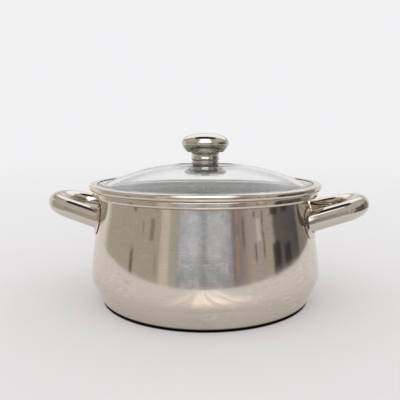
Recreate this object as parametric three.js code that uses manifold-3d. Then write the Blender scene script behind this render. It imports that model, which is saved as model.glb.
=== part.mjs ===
// Belly-shaped stainless steel cooking pot with two tubular loop handles and a domed glass lid.
// Millimetres, +Z up. The origin is the centre of the foot, and the handles lie along the X axis.
import * as THREE from 'three';
import { mergeVertices } from 'three/addons/utils/BufferGeometryUtils.js';
import Module from 'manifold-3d';

const wasm = await Module();
wasm.setup();

// ---- Driving dimensions: pot shell ----
const potWall = 0.8;
const footRadius = 96.6;
const heelRadius = 5;
const heelSweep = THREE.MathUtils.degToRad(64);
const flankRadius = 106.9;
const flankHeight = 18;
const bellyRadius = 109.6;
const bellyHeight = 30;
const shoulderRadius = 104.6;
const shoulderDrop = 36.2;
const neckRadius = 99.6;
const neckDrop = 14.2;
const mouthRadius = 99.5;
const rimHeight = 106.2;
const rimRollRadius = 3.65;
const rimRollEnd = THREE.MathUtils.degToRad(-125);

// ---- Driving dimensions: sandwich base ----
const capSheet = 0.5;
const spreaderThickness = 4;
const baseGap = 0.1;
const spreaderInset = 2.4;
const capFootInset = 3;
const capBevelWidth = 2.1;
const capBevelHeight = 1.4;

// ---- Driving dimensions: handles and their saddles ----
const handleReach = 155;
const handleDrop = 26.9;
const handleTilt = THREE.MathUtils.degToRad(14.4);
const legOffset = 34;
const bendRadius = 27;
const tubeRadius = 9.1;
const tubeWall = 1;
const tubeSteps = 24;
const saddleSheet = 0.8;
const saddleHalfWidth = 14;
const saddleHalfHeight = 15;
const saddleDraw = 1.4;
const saddleFacets = 20;
const weldGap = 0.3;
const collarGap = 0.3;
const wallSearch = 30;

// ---- Driving dimensions: glass and its steel band ----
const glassThickness = 3.6;
const domeRise = 18.35;
const brimWidth = 15.5;
const domePower = 2.6;
const crestRadius = 30;
const seatRadius = 26;
const seatDepth = 0.95;
const glassHoleRadius = 4.6;
const bandOverhang = 3.2;
const bandSheet = 0.6;
const bandBend = 1.3;
const bandLipWidth = 7;
const bandGap = 0.1;
const skirtDepth = 5;
const skirtClearance = 1.1;

// ---- Driving dimensions: knob and its fastening ----
const gasketThickness = 1;
const gasketRadius = 12.2;
const collarRadius = 13;
const collarHeight = 3.5;
const knobSheet = 0.8;
const knobNeckRadius = 13;
const knobNeckHeight = 4.2;
const knobFlareHeight = 5;
const knobFlareRadius = 14.7;
const knobEdgeRadius = 18;
const knobHeadRadius = 22.65;
const knobHeadLower = 7.2;
const knobHeadUpper = 9.4;
const knobHeadPower = 2.6;
const knobGap = 0.15;
const coreRadius = 6;
const coreHeight = 8;
const screwRadius = 2.5;
const screwClearance = 0.25;
const screwHeadRadius = 4.6;
const screwHeadHeight = 2.6;
const backingRadius = 19.8;
const backingDrop = 1.6;
const springThickness = 1.2;

// ---- Facets ----
const bigFacets = 40;
const smallFacets = 24;

// ---- Sizes and heights worked out from the dimensions above ----
const screwHole = screwRadius + screwClearance;
const bandRadius = mouthRadius + 2 * rimRollRadius + bandOverhang;
const domeFootRadius = bandRadius - brimWidth;
const handleHeight = rimHeight - handleDrop;
const spreaderBottom = capSheet + baseGap;
const shellUnderside = spreaderBottom + spreaderThickness + baseGap;
const floorTop = shellUnderside + potWall;
const rollCentre = new THREE.Vector2(mouthRadius + rimRollRadius, rimHeight - rimRollRadius);
const bandLegTop = rimHeight + bandGap + bandSheet;
const brimTop = bandLegTop + bandGap + glassThickness;
const bandLipHeight = brimTop + bandGap;
const seatTop = domeTop(crestRadius) - seatDepth;
const seatUnderside = seatTop - glassThickness;
const collarBottom = seatTop + gasketThickness + knobGap;
const knobBottom = collarBottom + collarHeight + knobGap;
const knobFlareBottom = knobBottom + knobNeckHeight;
const knobFlareTop = knobFlareBottom + knobFlareHeight;
const knobWidest = knobFlareTop + knobHeadLower + knobGap;
const coreBottom = knobBottom + knobSheet + knobGap;
const backingTop = seatUnderside - gasketThickness - knobGap;
const springTop = backingTop - knobSheet - knobGap;
const screwHeadTop = springTop - springThickness - knobGap;

// ---- Finishes ----
const steel = { color: 0xb9b2a6, roughness: 0.14, metalness: 1 };
const aluminium = { color: 0xb4b6b8, roughness: 0.45, metalness: 1 };
const glass = { color: 0xdfe8e4, roughness: 0.03, metalness: 0, transparent: true, opacity: 0.35 };
const silicone = { color: 0x6f7274, roughness: 0.6, metalness: 0 };

/** Height of the outer face of the glass dome at a distance from the axis. */
function domeTop(radius) {
  return brimTop + domeRise * (1 - (radius / domeFootRadius) ** domePower);
}

/** Points on an arc from one angle to another, both ends included. */
function arc(centreX, centreY, radius, from, to, steps) {
  return Array.from({ length: steps + 1 }, (_, i) => {
    const angle = from + ((to - from) * i) / steps;
    return new THREE.Vector2(centreX + radius * Math.cos(angle), centreY + radius * Math.sin(angle));
  });
}

/** The path moved sideways by a distance, to the right of its direction of travel. */
function offsetRight(path, distance) {
  return path.map((point, i) => {
    const before = path[Math.max(i - 1, 0)];
    const after = path[Math.min(i + 1, path.length - 1)];
    const incoming = (i === 0 ? after.clone().sub(point) : point.clone().sub(before)).normalize();
    const outgoing = (i === path.length - 1 ? incoming.clone() : after.clone().sub(point)).normalize();
    const normal = new THREE.Vector2(incoming.y + outgoing.y, -incoming.x - outgoing.x).normalize();
    const stretch = distance / (normal.x * incoming.y - normal.y * incoming.x);
    return point.clone().addScaledVector(normal, stretch);
  });
}

/** Closed outline of a sheet of even thickness whose left face follows the path. */
function sheet(path, thickness) {
  return [...offsetRight(path, thickness), ...[...path].reverse()];
}

/** Solid turned about the Z axis from (radius, height) points, counter-clockwise round the section. */
function turned(outline, facets) {
  const onAxis = outline[0].x === 0 && outline[outline.length - 1].x === 0;
  const points = onAxis ? outline : [...outline, outline[0].clone()];
  return new THREE.LatheGeometry(points, facets).rotateX(Math.PI / 2);
}

/** Flat ring or washer turned about the Z axis. */
function washer(inner, outer, bottom, top, facets) {
  const corners = [[inner, bottom], [outer, bottom], [outer, top], [inner, top]];
  return turned(corners.map(([radius, height]) => new THREE.Vector2(radius, height)), facets);
}

/** Closed skin through rings of points; the last ring joins the first. */
function ringLoop(rings) {
  const around = rings[0].length;
  const index = [];
  rings.forEach((_, k) => {
    const next = (k + 1) % rings.length;
    for (let i = 0; i < around; i += 1) {
      const j = (i + 1) % around;
      const [a, b, c, d] = [k * around + i, k * around + j, next * around + j, next * around + i];
      index.push(a, b, c, a, c, d);
    }
  });
  const geometry = new THREE.BufferGeometry().setFromPoints(rings.flat());
  geometry.setIndex(index);
  return geometry;
}

/** Inner face of the pot from the centre of its floor to the foot of the rolled rim. */
function potSideFace() {
  const heelCentre = shellUnderside + heelRadius;
  const heelStart = -Math.PI / 2;
  const heel = arc(footRadius, heelCentre, heelRadius - potWall, heelStart, heelStart + heelSweep, 3);
  const stations = [
    heel[heel.length - 1],
    new THREE.Vector2(flankRadius - potWall, flankHeight),
    new THREE.Vector2(bellyRadius - potWall, bellyHeight),
    new THREE.Vector2(shoulderRadius - potWall, rimHeight - shoulderDrop),
    new THREE.Vector2(neckRadius - potWall, rimHeight - neckDrop),
    new THREE.Vector2(mouthRadius, rollCentre.y),
  ];
  const side = new THREE.SplineCurve(stations).getPoints(10).slice(1);
  return [new THREE.Vector2(0, floorTop), ...heel, ...side];
}

const sideFace = potSideFace();
const rimRoll = arc(rollCentre.x, rollCentre.y, rimRollRadius, Math.PI, rimRollEnd, 9).slice(1);
const innerFace = [...sideFace, ...rimRoll];
const wallFace = offsetRight(innerFace, potWall).slice(1, sideFace.length);

/** Outside radius of the pot wall at a height between the heel and the rim. */
function wallRadius(height) {
  const last = wallFace.findIndex((point) => point.y >= height);
  const [low, high] = [wallFace[last - 1], wallFace[last]];
  return low.x + ((high.x - low.x) * (height - low.y)) / (high.y - low.y);
}

/** Aluminium disc that spreads the heat, between the pot and the base cap. */
function heatSpreader() {
  const radius = footRadius + capFootInset - spreaderInset;
  const top = spreaderBottom + spreaderThickness;
  const foot = radius - capFootInset;
  const corners = [[0, spreaderBottom], [foot, spreaderBottom], [radius, top], [0, top]];
  return turned(corners.map(([r, z]) => new THREE.Vector2(r, z)), bigFacets);
}

/** Steel cup that closes the sandwich base; its lip stops just under the shell's heel. */
function baseCap() {
  const lip = footRadius + capFootInset - capSheet;
  const foot = lip - capFootInset - capSheet;
  const path = [
    [0, capSheet],
    [foot, capSheet],
    [foot + capBevelWidth, capSheet + capBevelHeight],
    [lip, shellUnderside - baseGap],
  ];
  return turned(sheet(path.map(([r, z]) => new THREE.Vector2(r, z)), capSheet), bigFacets);
}

/** Plan of a handle in its tilted plane: a half-circle bend with legs that splay out to the wall. */
function handlePlan() {
  const rootDistance = Math.sqrt(wallRadius(handleHeight) ** 2 - legOffset ** 2);
  const reach = (handleReach - tubeRadius - rootDistance) / Math.cos(handleTilt);
  const bendCentre = reach - bendRadius;
  const toCentre = Math.hypot(bendCentre, legOffset);
  const splay = Math.atan2(legOffset, bendCentre) - Math.asin(bendRadius / toCentre);
  const leg = Math.sqrt(toCentre ** 2 - bendRadius ** 2);
  return { rootDistance, bendCentre, splay, leg };
}

/** Point in the handle's plane at distances out from its root and to the side. */
function inPlane(out, side, target = new THREE.Vector3()) {
  const x = handlePlan().rootDistance + out * Math.cos(handleTilt);
  return target.set(x, side, handleHeight + out * Math.sin(handleTilt));
}

/** Frame of one handle leg where its axis meets the wall; side is 1 or -1 along Y. */
function legFrame(side) {
  const { splay } = handlePlan();
  const origin = inPlane(0, side * legOffset);
  const out = inPlane(Math.cos(splay), side * (legOffset - Math.sin(splay))).sub(origin);
  const up = new THREE.Vector3(-Math.sin(handleTilt), 0, Math.cos(handleTilt));
  return { origin, out, up, across: up.clone().cross(out) };
}

/** Point of a leg's frame at distances out along the leg, across it and up from it. */
function inFrame(frame, out, across, up) {
  const point = frame.origin.clone().addScaledVector(frame.out, out);
  return point.addScaledVector(frame.across, across).addScaledVector(frame.up, up);
}

/** Distance out along the leg at which a line beside it leaves the pot wall. */
function wallDistance(frame, across, up) {
  let inside = -wallSearch;
  let outside = wallSearch;
  while (outside - inside > 1e-6) {
    const middle = (inside + outside) / 2;
    const point = inFrame(frame, middle, across, up);
    const clear = Math.hypot(point.x, point.y) > wallRadius(point.z);
    [inside, outside] = clear ? [inside, middle] : [middle, outside];
  }
  return outside;
}

/** Centre line of a handle: out along one leg, round the half circle and back along the other. */
class HandleCurve extends THREE.Curve {
  constructor(rootInset) {
    super();
    Object.assign(this, handlePlan(), { rootInset });
    this.straight = this.leg + rootInset;
    this.half = this.straight + bendRadius * (Math.PI / 2 - this.splay);
  }

  getPoint(t, target = new THREE.Vector3()) {
    const side = t < 0.5 ? 1 : -1;
    const along = 2 * this.half * Math.min(t, 1 - t);
    if (along < this.straight) {
      const run = along - this.rootInset;
      return inPlane(run * Math.cos(this.splay), side * (legOffset - run * Math.sin(this.splay)), target);
    }
    const angle = this.splay + (along - this.straight) / bendRadius;
    const out = this.bendCentre + bendRadius * Math.sin(angle);
    return inPlane(out, side * bendRadius * Math.cos(angle), target);
  }
}

/** Solid for boolean cuts, made from a closed geometry. */
function solid(geometry) {
  const bare = new THREE.BufferGeometry().setAttribute('position', geometry.getAttribute('position'));
  bare.setIndex(geometry.getIndex());
  const merged = mergeVertices(bare);
  const vertProperties = new Float32Array(merged.getAttribute('position').array);
  const triVerts = new Uint32Array(merged.getIndex().array);
  return new wasm.Manifold(new wasm.Mesh({ numProp: 3, vertProperties, triVerts }));
}

/** Geometry of a solid that has been cut. */
function geometryOf(shape) {
  const mesh = shape.getMesh();
  const geometry = new THREE.BufferGeometry();
  geometry.setAttribute('position', new THREE.BufferAttribute(mesh.vertProperties, 3));
  geometry.setIndex(new THREE.BufferAttribute(mesh.triVerts, 1));
  return geometry;
}

/** Hollow round tube bent into a loop, both ends coped to the curve of the pot wall. */
function handleTube() {
  const section = new THREE.Shape().absarc(0, 0, tubeRadius, 0, 2 * Math.PI, false);
  section.holes.push(new THREE.Path().absarc(0, 0, tubeRadius - tubeWall, 0, 2 * Math.PI, true));
  const extrudePath = new HandleCurve(2 * tubeRadius);
  const settings = { steps: tubeSteps, curveSegments: 8, bevelEnabled: false, extrudePath };
  const clear = offsetRight(wallFace, weldGap);
  const [bottom, top] = [clear[0].y, clear[clear.length - 1].y];
  const pot = turned([new THREE.Vector2(0, bottom), ...clear, new THREE.Vector2(0, top)], bigFacets);
  return geometryOf(solid(new THREE.ExtrudeGeometry(section, settings)).subtract(solid(pot)));
}

/** Pressed saddle: an oval flange on the wall that draws up into a collar round the tube's end. */
function saddle(side) {
  const frame = legFrame(side);
  const collarInner = tubeRadius + collarGap;
  const collarOuter = collarInner + saddleSheet;
  const ring = (share, lift, inset = 0) => Array.from({ length: saddleFacets }, (_, i) => {
    const angle = (2 * Math.PI * i) / saddleFacets;
    const halfWidth = THREE.MathUtils.lerp(collarOuter, saddleHalfWidth, share) - inset;
    const halfHeight = THREE.MathUtils.lerp(collarOuter, saddleHalfHeight, share) - inset;
    const across = halfWidth * Math.cos(angle);
    const up = halfHeight * Math.sin(angle);
    return inFrame(frame, wallDistance(frame, across, up) + lift, across, up);
  });
  const face = weldGap + saddleSheet;
  return ringLoop([
    ring(1, weldGap),
    ring(1, face),
    ring(1 / 2, face + saddleDraw / 8),
    ring(1 / 6, face + saddleDraw / 2),
    ring(0, face + saddleDraw),
    ring(0, face + saddleDraw, saddleSheet),
    ring(1 / 6, weldGap + saddleDraw / 2, saddleSheet),
    ring(1 / 2, weldGap, saddleSheet),
  ]);
}

/** Tempered glass dome with a sunk seat for the knob and a flat brim for the band. */
function lidGlass() {
  const steps = 9;
  const dome = Array.from({ length: steps + 1 }, (_, i) => {
    const radius = crestRadius + ((domeFootRadius - crestRadius) * i) / steps;
    return new THREE.Vector2(radius, domeTop(radius));
  });
  const top = [
    new THREE.Vector2(glassHoleRadius, seatTop),
    new THREE.Vector2(seatRadius, seatTop),
    ...dome,
    new THREE.Vector2(bandRadius - bandSheet - bandBend, brimTop),
  ];
  return turned(sheet(top, glassThickness), bigFacets);
}

/** Steel band folded round the brim, with a skirt that hangs in the pot's mouth. */
function lidBand() {
  const inside = bandRadius - bandSheet;
  const skirt = Math.min(neckRadius - potWall, mouthRadius) - skirtClearance - bandSheet;
  const corner = inside - bandBend;
  const path = [
    new THREE.Vector2(skirt, rimHeight - skirtDepth),
    ...arc(skirt + bandBend, bandLegTop - bandBend, bandBend, Math.PI, Math.PI / 2, 2),
    ...arc(corner, bandLegTop + bandBend, bandBend, -Math.PI / 2, 0, 2),
    ...arc(corner, bandLipHeight - bandBend, bandBend, 0, Math.PI / 2, 2),
    new THREE.Vector2(bandRadius - bandLipWidth, bandLipHeight),
  ];
  return turned(sheet(path, bandSheet), bigFacets);
}

/** Silicone washer between the glass and the steel on one side of it. */
function gasket(bottom) {
  return washer(screwHole, gasketRadius, bottom, bottom + gasketThickness, smallFacets);
}

/** Silicone tube that keeps the screw off the glass. */
function holeSleeve() {
  return washer(screwHole, glassHoleRadius - 2 * knobGap, seatUnderside, seatTop, smallFacets);
}

/** Steel ring between the upper gasket and the knob. */
function knobCollar() {
  return washer(coreRadius, collarRadius, collarBottom, collarBottom + collarHeight, smallFacets);
}

/** Waisted lower shell of the knob, with a hole in its floor for the screw. */
function knobWaist() {
  const inner = knobNeckRadius - knobSheet;
  const path = [
    new THREE.Vector2(screwHole, knobBottom + knobSheet),
    new THREE.Vector2(inner, knobBottom + knobSheet),
    new THREE.Vector2(inner, knobFlareBottom),
    new THREE.Vector2((inner * 2 + knobFlareRadius - knobSheet) / 3, knobFlareBottom + knobFlareHeight * 0.6),
    new THREE.Vector2(knobFlareRadius - knobSheet, knobFlareTop),
    new THREE.Vector2(knobEdgeRadius - 2 * knobSheet, knobFlareTop + knobSheet),
  ];
  return turned(sheet(path, knobSheet), smallFacets);
}

/** Domed head shell of the knob: a superellipse above its widest line, drawn in below it. */
function knobHead() {
  const inner = knobHeadRadius - knobSheet;
  const upper = Array.from({ length: 7 }, (_, i) => {
    const angle = (Math.PI / 2) * (i / 6);
    const radius = inner * Math.cos(angle) ** (2 / knobHeadPower);
    const height = (knobHeadUpper - knobSheet) * Math.sin(angle) ** (2 / knobHeadPower);
    return new THREE.Vector2(i === 6 ? 0 : radius, knobWidest + height);
  });
  const path = [
    new THREE.Vector2(knobEdgeRadius - knobSheet, knobWidest - knobHeadLower),
    new THREE.Vector2((knobEdgeRadius + inner) / 2, knobWidest - knobHeadLower * 0.55),
    ...upper,
  ];
  return turned(sheet(path, knobSheet), smallFacets);
}

/** Threaded post inside the knob that the screw is driven into. */
function knobCore() {
  return washer(screwHole, coreRadius, coreBottom, coreBottom + coreHeight, smallFacets);
}

/** Dished steel plate that backs the glass from below. */
function backingPlate() {
  const path = [
    new THREE.Vector2(screwHole, backingTop),
    new THREE.Vector2(gasketRadius, backingTop),
    new THREE.Vector2(backingRadius, backingTop - backingDrop),
  ];
  return turned(sheet(path, knobSheet), smallFacets);
}

/** Washer under the head of the screw. */
function springWasher() {
  return washer(screwHole, screwHeadRadius, springTop - springThickness, springTop, smallFacets);
}

/** Pan-head screw that clamps the knob to the glass from below. */
function screw() {
  const tip = coreBottom + coreHeight - screwRadius;
  const corners = [
    [0, screwHeadTop - screwHeadHeight],
    [screwHeadRadius * 0.7, screwHeadTop - screwHeadHeight],
    [screwHeadRadius, screwHeadTop - screwHeadHeight * 0.6],
    [screwHeadRadius, screwHeadTop],
    [screwRadius, screwHeadTop],
    [screwRadius, tip],
    [0, tip],
  ];
  return turned(corners.map(([r, z]) => new THREE.Vector2(r, z)), smallFacets);
}

/** Named mesh with its own material. */
function part(name, geometry, finish) {
  const mesh = new THREE.Mesh(geometry, new THREE.MeshStandardMaterial(finish));
  mesh.name = name;
  return mesh;
}

/** One loop handle with its two saddles; turn places it round the pot, and front is the front's side of Y. */
function handle(label, turn, front) {
  const group = new THREE.Group();
  group.add(part(`handle_tube_${label}`, handleTube(), steel));
  group.add(part(`saddle_${label}_front`, saddle(front), steel));
  group.add(part(`saddle_${label}_back`, saddle(-front), steel));
  group.rotation.z = turn;
  return group;
}

const pot = new THREE.Group();
pot.add(part('pot_shell', turned(sheet(innerFace, potWall), bigFacets), steel));
pot.add(part('heat_spreader', heatSpreader(), aluminium));
pot.add(part('base_cap', baseCap(), steel));
pot.add(handle('right', 0, -1));
pot.add(handle('left', Math.PI, 1));

const lid = new THREE.Group();
lid.add(part('lid_glass', lidGlass(), glass));
lid.add(part('lid_band', lidBand(), steel));
lid.add(part('upper_gasket', gasket(seatTop), silicone));
lid.add(part('lower_gasket', gasket(seatUnderside - gasketThickness), silicone));
lid.add(part('hole_sleeve', holeSleeve(), silicone));

const knob = new THREE.Group();
knob.add(part('knob_collar', knobCollar(), steel));
knob.add(part('knob_waist', knobWaist(), steel));
knob.add(part('knob_head', knobHead(), steel));
knob.add(part('knob_core', knobCore(), steel));
knob.add(part('backing_plate', backingPlate(), steel));
knob.add(part('spring_washer', springWasher(), steel));
knob.add(part('knob_screw', screw(), steel));

const saucepan = new THREE.Group();
saucepan.add(pot, lid, knob);
export default saucepan;
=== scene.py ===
"""Polished steel cooking pot with two tubular loop handles and a domed glass lid, dressed around its CAD.

Sizes that the frame's boxes don't give are fields of the sub-assembly that they belong to, in metres.
Counts of rows and steps have no unit. A finish's fields say how strongly each mark of use shows in it.
"""
import logging
import math
from dataclasses import dataclass, field
from enum import Enum

import bpy
import numpy as np
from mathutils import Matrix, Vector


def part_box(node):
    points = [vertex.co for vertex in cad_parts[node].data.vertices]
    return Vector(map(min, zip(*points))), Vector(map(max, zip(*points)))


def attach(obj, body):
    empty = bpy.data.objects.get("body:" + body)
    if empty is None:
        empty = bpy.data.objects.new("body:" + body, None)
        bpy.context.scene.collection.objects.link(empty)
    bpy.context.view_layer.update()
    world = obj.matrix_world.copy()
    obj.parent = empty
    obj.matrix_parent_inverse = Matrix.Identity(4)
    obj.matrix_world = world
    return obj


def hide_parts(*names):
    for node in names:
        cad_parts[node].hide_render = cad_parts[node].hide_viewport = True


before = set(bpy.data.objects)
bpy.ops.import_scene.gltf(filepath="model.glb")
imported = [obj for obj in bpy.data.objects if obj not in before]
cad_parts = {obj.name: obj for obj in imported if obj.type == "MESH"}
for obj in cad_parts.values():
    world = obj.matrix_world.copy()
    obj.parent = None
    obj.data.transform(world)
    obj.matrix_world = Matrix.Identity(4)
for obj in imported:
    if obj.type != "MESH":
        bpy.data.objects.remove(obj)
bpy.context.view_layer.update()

LOG = logging.getLogger("pot")
MM = 0.001

# Vertices round the wide turned pieces and round the small ones, and steps round a sheet's free edge.
AROUND = 288
KNOB_AROUND = 160
EDGE_STEPS = 6

# A fillet takes at most this share of a side, and a colour's channels stay under this value.
FILLET_SHARE = 0.45
ALMOST_WHITE = 0.95

# Edges that turn by more than this are shaded sharp.
SHARP_ANGLE = math.radians(38)

Colour = tuple[float, float, float]
Point = tuple[float, float]
Stretch = tuple[float, float, float]


class Body(Enum):
    """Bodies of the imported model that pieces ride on."""

    POT = "pot"
    LID = "lid"
    KNOB = "knob"


class Slot(Enum):
    """Material slots."""

    SHELL = "shell_steel"
    BASE = "base_steel"
    SPREADER = "spreader_aluminium"
    HANDLE = "handle_steel"
    SADDLE = "saddle_steel"
    GLASS = "lid_glass"
    BAND = "band_steel"
    KNOB = "knob_steel"
    HARDWARE = "hardware_steel"
    SILICONE = "silicone"


class Side(Enum):
    """Sides of the pot that carry a handle, as the quarter turns from the +X axis."""

    RIGHT = 1
    LEFT = -1


# ---------------------------------------------------------------- surfaces


def arc(centre: Point, radius: float, start: float, end: float, steps: int) -> np.ndarray:
    """Points of a circular arc: the centre plus the radius turned from the start angle to the end angle.

    Args:
        centre: (radius from the axis, height) of the arc's centre.
        radius: Radius of the arc.
        start: First angle in radians.
        end: Last angle in radians.
        steps: Number of steps between them.

    Returns:
        Array of shape (steps + 1, 2).
    """
    angle = np.linspace(start, end, steps + 1)
    return np.stack([centre[0] + radius * np.cos(angle), centre[1] + radius * np.sin(angle)], axis=1)


def spline(stations: np.ndarray, steps: int) -> np.ndarray:
    """Smooth curve through stations: a uniform Catmull-Rom cubic between each pair of neighbours.

    Args:
        stations: Array of shape (n, 2).
        steps: Steps between two stations.

    Returns:
        Array of shape ((n - 1) * steps + 1, 2).
    """
    held = np.concatenate([stations[:1], stations, stations[-1:]])
    a, b, c, d = held[:-3, None], held[1:-2, None], held[2:-1, None], held[3:, None]
    t = (np.arange(steps) / steps)[None, :, None]
    slope_in, slope_out = (c - a) / 2, (d - b) / 2
    curve = (2 * b - 2 * c + slope_in + slope_out) * t**3
    curve += (3 * c - 3 * b - 2 * slope_in - slope_out) * t**2 + slope_in * t + b
    return np.concatenate([curve.reshape(-1, 2), stations[-1:]])


def rounded(corners: list[Point], radius: float, steps: int = 5) -> np.ndarray:
    """Open outline with each inner corner cut to a parabola-like fillet between two points a radius away.

    The fillet is the quadratic curve (1-t)^2 before + 2t(1-t) corner + t^2 after.

    Args:
        corners: Corner points, the two ends included.
        radius: Distance from a corner at which its fillet starts, at most 45 % of the shorter side.
        steps: Steps in each fillet.

    Returns:
        Array of points.
    """
    points = np.array(corners, float)
    inner, before, after = points[1:-1], points[:-2], points[2:]
    to_before, to_after = before - inner, after - inner
    long_before = np.linalg.norm(to_before, axis=1, keepdims=True)
    long_after = np.linalg.norm(to_after, axis=1, keepdims=True)
    reach = np.minimum(radius, FILLET_SHARE * np.minimum(long_before, long_after))
    start = (inner + to_before / long_before * reach)[:, None]
    end = (inner + to_after / long_after * reach)[:, None]
    t = np.linspace(0, 1, steps + 1)[None, :, None]
    fillets = (1 - t) ** 2 * start + 2 * t * (1 - t) * inner[:, None] + t**2 * end
    return np.concatenate([points[:1], fillets.reshape(-1, 2), points[-1:]])


def sheet_section(path: np.ndarray, thickness: float) -> np.ndarray:
    """Section of a sheet whose left face follows a path: the path, a copy moved right, and round edges.

    The copy is each point plus the thickness times the path's right-hand normal. A free edge is a half
    circle between the faces. An end on the axis stays open, and the section then starts and ends there.

    Args:
        path: (radius, height) points in the direction of travel.
        thickness: Thickness of the sheet.

    Returns:
        Points round the section.
    """
    step = np.gradient(path, axis=0)
    step /= np.linalg.norm(step, axis=1, keepdims=True)
    normal = np.stack([step[:, 1], -step[:, 0]], axis=1)
    normal[path[:, 0] == 0] = np.round(normal[path[:, 0] == 0])
    far = path + normal * thickness

    def edge(index: int, outward: float) -> np.ndarray:
        """Half circle from the far face to the path, bulging outward along the path."""
        t = np.linspace(0, math.pi, EDGE_STEPS + 1)[1:-1, None]
        middle = (path[index] + far[index]) / 2
        return middle + thickness / 2 * (np.cos(t) * normal[index] + outward * np.sin(t) * step[index])

    if path[0, 0] == 0:
        return np.concatenate([far, edge(-1, 1), path[::-1]])
    if path[-1, 0] == 0:
        return np.concatenate([path[::-1], edge(0, -1)[::-1], far])
    return np.concatenate([far, edge(-1, 1), path[::-1], edge(0, -1)[::-1]])


def mesh_piece(name: str, points: np.ndarray, faces: list[np.ndarray]) -> bpy.types.Object:
    """Object from vertex and face arrays, its faces turned outward by the sign of the enclosed volume.

    The volume is a sixth of the sum over triangles of first corner dot (second cross third).

    Args:
        name: Name of the piece.
        points: Vertices of shape (n, 3).
        faces: Arrays of triangles or quads as vertex indices.

    Returns:
        The new object, at the origin.
    """
    fans = [
        np.stack([f[:, 0], f[:, k], f[:, k + 1]], axis=1)
        for f in faces
        for k in range(1, f.shape[1] - 1)
    ]
    a, b, c = points[np.concatenate(fans)].transpose(1, 0, 2)
    if np.einsum("ij,ij->", a, np.cross(b, c)) < 0:
        faces = [f[:, ::-1] for f in faces]
    mesh = bpy.data.meshes.new(name)
    sizes = np.concatenate([np.full(len(f), f.shape[1], np.int32) for f in faces])
    corners = np.concatenate([f.ravel() for f in faces]).astype(np.int32)
    mesh.vertices.add(len(points))
    mesh.vertices.foreach_set("co", points.astype(np.float32).ravel())
    mesh.loops.add(len(corners))
    mesh.loops.foreach_set("vertex_index", corners)
    mesh.polygons.add(len(sizes))
    starts = np.concatenate([[0], np.cumsum(sizes)[:-1]]).astype(np.int32)
    mesh.polygons.foreach_set("loop_start", starts)
    mesh.polygons.foreach_set("use_smooth", np.ones(len(sizes), bool))
    mesh.update(calc_edges=True)
    mesh.validate()
    mesh.set_sharp_from_angle(angle=SHARP_ANGLE)
    piece = bpy.data.objects.new(name, mesh)
    bpy.context.scene.collection.objects.link(piece)
    return piece


def quad_grid(rows: int, columns: int, close_rows: bool) -> np.ndarray:
    """Quads of a grid whose columns close on themselves: each joins a cell's four neighbours.

    Args:
        rows: Number of rows of vertices.
        columns: Number of vertices in a row.
        close_rows: Whether the last row joins the first.

    Returns:
        Quads as vertex indices.
    """
    row = np.arange(rows if close_rows else rows - 1)[:, None]
    column = np.arange(columns)[None, :]
    ahead, beside = (row + 1) % rows, (column + 1) % columns
    corners = [
        row * columns + column,
        row * columns + beside,
        ahead * columns + beside,
        ahead * columns + column,
    ]
    return np.stack([corner.ravel() for corner in corners], axis=1)


def turned(name: str, section: np.ndarray, around: int) -> bpy.types.Object:
    """Surface of revolution: each (radius, height) becomes a circle about Z, an end on the axis one point.

    Args:
        name: Name of the piece.
        section: Points round the section. It closes on itself unless its ends are on the axis.
        around: Vertices round the axis.

    Returns:
        The new object.
    """
    open_section = section[0, 0] == 0
    rings = section[1:-1] if open_section else section
    angle = 2 * math.pi * np.arange(around) / around
    x, y = rings[:, :1] * np.cos(angle), rings[:, :1] * np.sin(angle)
    z = np.repeat(rings[:, 1:], around, axis=1)
    points = np.stack([x, y, z], axis=2).reshape(-1, 3)
    faces = [quad_grid(len(rings), around, not open_section)]
    if open_section:
        tips = np.array([[0, 0, section[0, 1]], [0, 0, section[-1, 1]]])
        column = np.arange(around)
        beside, last = (column + 1) % around, (len(rings) - 1) * around
        first_tip, last_tip = np.full(around, len(points)), np.full(around, len(points) + 1)
        faces.append(np.stack([first_tip, beside, column], axis=1))
        faces.append(np.stack([last_tip, last + column, last + beside], axis=1))
        points = np.concatenate([points, tips])
    return mesh_piece(name, points, faces)


def looped(name: str, rings: np.ndarray) -> bpy.types.Object:
    """Closed surface through rings of points, the last ring joined to the first.

    Args:
        name: Name of the piece.
        rings: Array of shape (rings, points in a ring, 3).

    Returns:
        The new object.
    """
    return mesh_piece(name, rings.reshape(-1, 3), [quad_grid(rings.shape[0], rings.shape[1], True)])


# ---------------------------------------------------------------- shader graph


class Value:
    """A number or a socket in a shader, with the arithmetic that adds Math nodes."""

    def __init__(self, graph: "Graph", socket: bpy.types.NodeSocket) -> None:
        """Keeps the socket and the graph that it belongs to."""
        self.graph = graph
        self.socket = socket

    def math(self, operation: str, *others: "Value | float") -> "Value":
        """Math node with this value first."""
        inputs = {i: v for i, v in enumerate((self, *others))}
        return self.graph.node("ShaderNodeMath", {"operation": operation}, inputs)

    def __add__(self, other: "Value | float") -> "Value":
        """Sum."""
        return self.math("ADD", other)

    __radd__ = __add__

    def __mul__(self, other: "Value | float") -> "Value":
        """Product."""
        return self.math("MULTIPLY", other)

    __rmul__ = __mul__

    def __sub__(self, other: "Value | float") -> "Value":
        """Difference."""
        return self.math("SUBTRACT", other)

    def __rsub__(self, other: float) -> "Value":
        """Difference with a number first."""
        return (self * -1) + other

    def band(self, low: float, high: float) -> "Value":
        """Smooth step from 0 at low to 1 at high, which may lie either way round."""
        settings = {"interpolation_type": "SMOOTHSTEP", "clamp": True}
        flipped = low > high
        edges = (high, low) if flipped else (low, high)
        inputs = {"Value": self, "From Min": edges[0], "From Max": edges[1]}
        step = self.graph.node("ShaderNodeMapRange", settings, inputs)
        return 1 - step if flipped else step


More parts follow.
